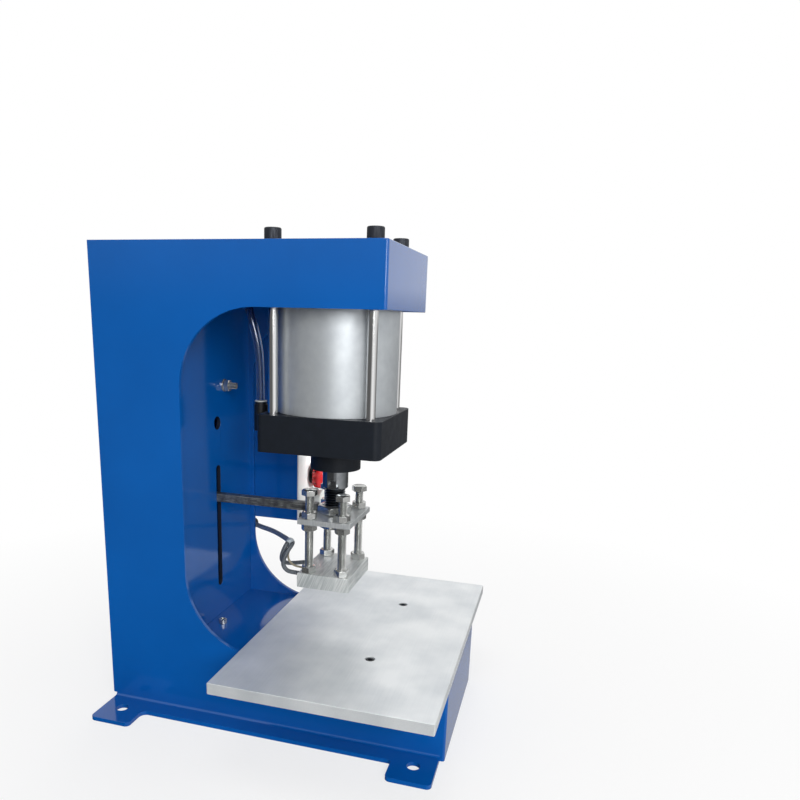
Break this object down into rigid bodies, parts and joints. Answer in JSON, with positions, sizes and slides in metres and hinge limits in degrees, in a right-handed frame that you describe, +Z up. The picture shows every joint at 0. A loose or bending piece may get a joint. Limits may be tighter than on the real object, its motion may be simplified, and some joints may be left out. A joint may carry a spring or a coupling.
{
  "type": "pneumatic hot stamping machine",
  "caption": "Bench C-frame hot stamping press: a square air cylinder drives a heated block down to an aluminium table, with a control box on its right side.",
  "frame": {"origin": "axis of the air cylinder, rod and head, at the plane the feet stand on", "axes": "+X to the operator's right, +Y away from the operator towards the column, +Z up"},
  "size_m": [0.385, 0.434, 0.55],
  "materials": {
    "frame_paint": "blue powder coat",
    "panel_white": "white powder coat",
    "milled_aluminium": "fine milled",
    "cylinder_aluminium": "satin anodised",
    "black_aluminium": "black anodised",
    "bright_steel": "zinc plated",
    "dark_steel": "black oxide",
    "hard_chrome": "ground and polished",
    "bronze": "turned",
    "nickel_brass": "nickel plated",
    "seal_rubber": "moulded",
    "black_plastic": "moulded",
    "grey_plastic": "moulded",
    "red_plastic": "moulded",
    "hose_plastic": "dark translucent",
    "braid": "woven grey sleeve",
    "lead_sleeve": "dark woven sleeve",
    "pale_sleeve": "pale woven sleeve",
    "block_aluminium": "sawn sides, milled faces"
  },
  "bodies": {
    "frame_body": {"air_inlet_fitting": "nickel_brass", "air_inlet_hose": "hose_plastic", "arm_front_plate": "frame_paint", "barrel_seals": "seal_rubber", "base_front_plate": "frame_paint", "cable_glands": "black_plastic", "cap_screw_washers": "dark_steel", "cap_screws": "dark_steel", "coil_cable": "black_plastic", "column_web": "frame_paint", "control_box_case": "frame_paint", "control_panel": "panel_white", "cover_screws": "dark_steel", "cylinder_barrel": "cylinder_aluminium", "cylinder_elbows": "black_plastic", "deck_plate": "frame_paint", "dwell_timer": "black_plastic", "emergency_stop_collar": "black_plastic", "heater_cable": "braid", "left_side_plate": "frame_paint", "lower_air_hose": "hose_plastic", "lower_end_cap": "black_aluminium", "power_switch_frame": "black_plastic", "rear_cover": "frame_paint", "right_side_plate": "frame_paint", "rod_bush": "bronze", "rod_seal": "seal_rubber", "socket_screws": "dark_steel", "solenoid_valve": "cylinder_aluminium", "start_button_collar": "black_plastic", "table_plate": "milled_aluminium", "temperature_controller": "black_plastic", "tie_rod_nuts": "bright_steel", "tie_rods": "bright_steel", "top_plate": "frame_paint", "upper_air_hose": "hose_plastic", "upper_end_cap": "black_aluminium", "valve_bracket": "frame_paint", "valve_coil": "black_plastic", "valve_fittings": "black_plastic", "web_bolt": "bright_steel", "web_bolt_nut": "bright_steel", "web_bolt_washer": "bright_steel"},
    "ram_body": {"piston": "cylinder_aluminium", "piston_seals": "seal_rubber", "piston_nut": "bright_steel", "piston_rod": "hard_chrome", "guide_bar": "dark_steel", "rod_nuts": "bright_steel", "head_plate": "bright_steel", "head_bolts": "bright_steel", "head_nuts": "bright_steel", "heating_block": "block_aluminium", "cartridge_heaters": "bright_steel", "thermocouple": "pale_sleeve", "heater_leads": "lead_sleeve"},
    "stop_stem_body": {"emergency_stop_stem": "black_plastic"},
    "stop_head_body": {"emergency_stop_button": "red_plastic"},
    "start_button_body": {"start_button": "grey_plastic"},
    "power_rocker_body": {"power_switch_rocker": "black_plastic"}
  },
  "joints": [
    {"name": "ram_slide", "type": "slide", "parent": "frame_body", "child": "ram_body", "axis": [0, 0, -1], "range_m": [0, 0.055], "deforming": ["heater_cable"]},
    {"name": "emergency_stop_push", "type": "slide", "parent": "frame_body", "child": "stop_stem_body", "axis": [0, 1, 0], "range_m": [0, 0.004], "stiffness_N_per_m": 1500, "springref_m": -0.003},
    {"name": "emergency_stop_twist", "type": "hinge", "parent": "stop_stem_body", "child": "stop_head_body", "pos_m": [0.147, 0.064, 0.246], "axis": [0, 1, 0], "range_deg": [0, 30], "stiffness_Nm_per_rad": 0.06},
    {"name": "start_button_push", "type": "slide", "parent": "frame_body", "child": "start_button_body", "axis": [0, 1, 0], "range_m": [0, 0.003], "stiffness_N_per_m": 900, "springref_m": -0.002},
    {"name": "power_switch_rock", "type": "hinge", "parent": "frame_body", "child": "power_rocker_body", "pos_m": [0.147, 0.086, 0.3], "axis": [1, 0, 0], "range_deg": [-16, 0]}
  ]
}
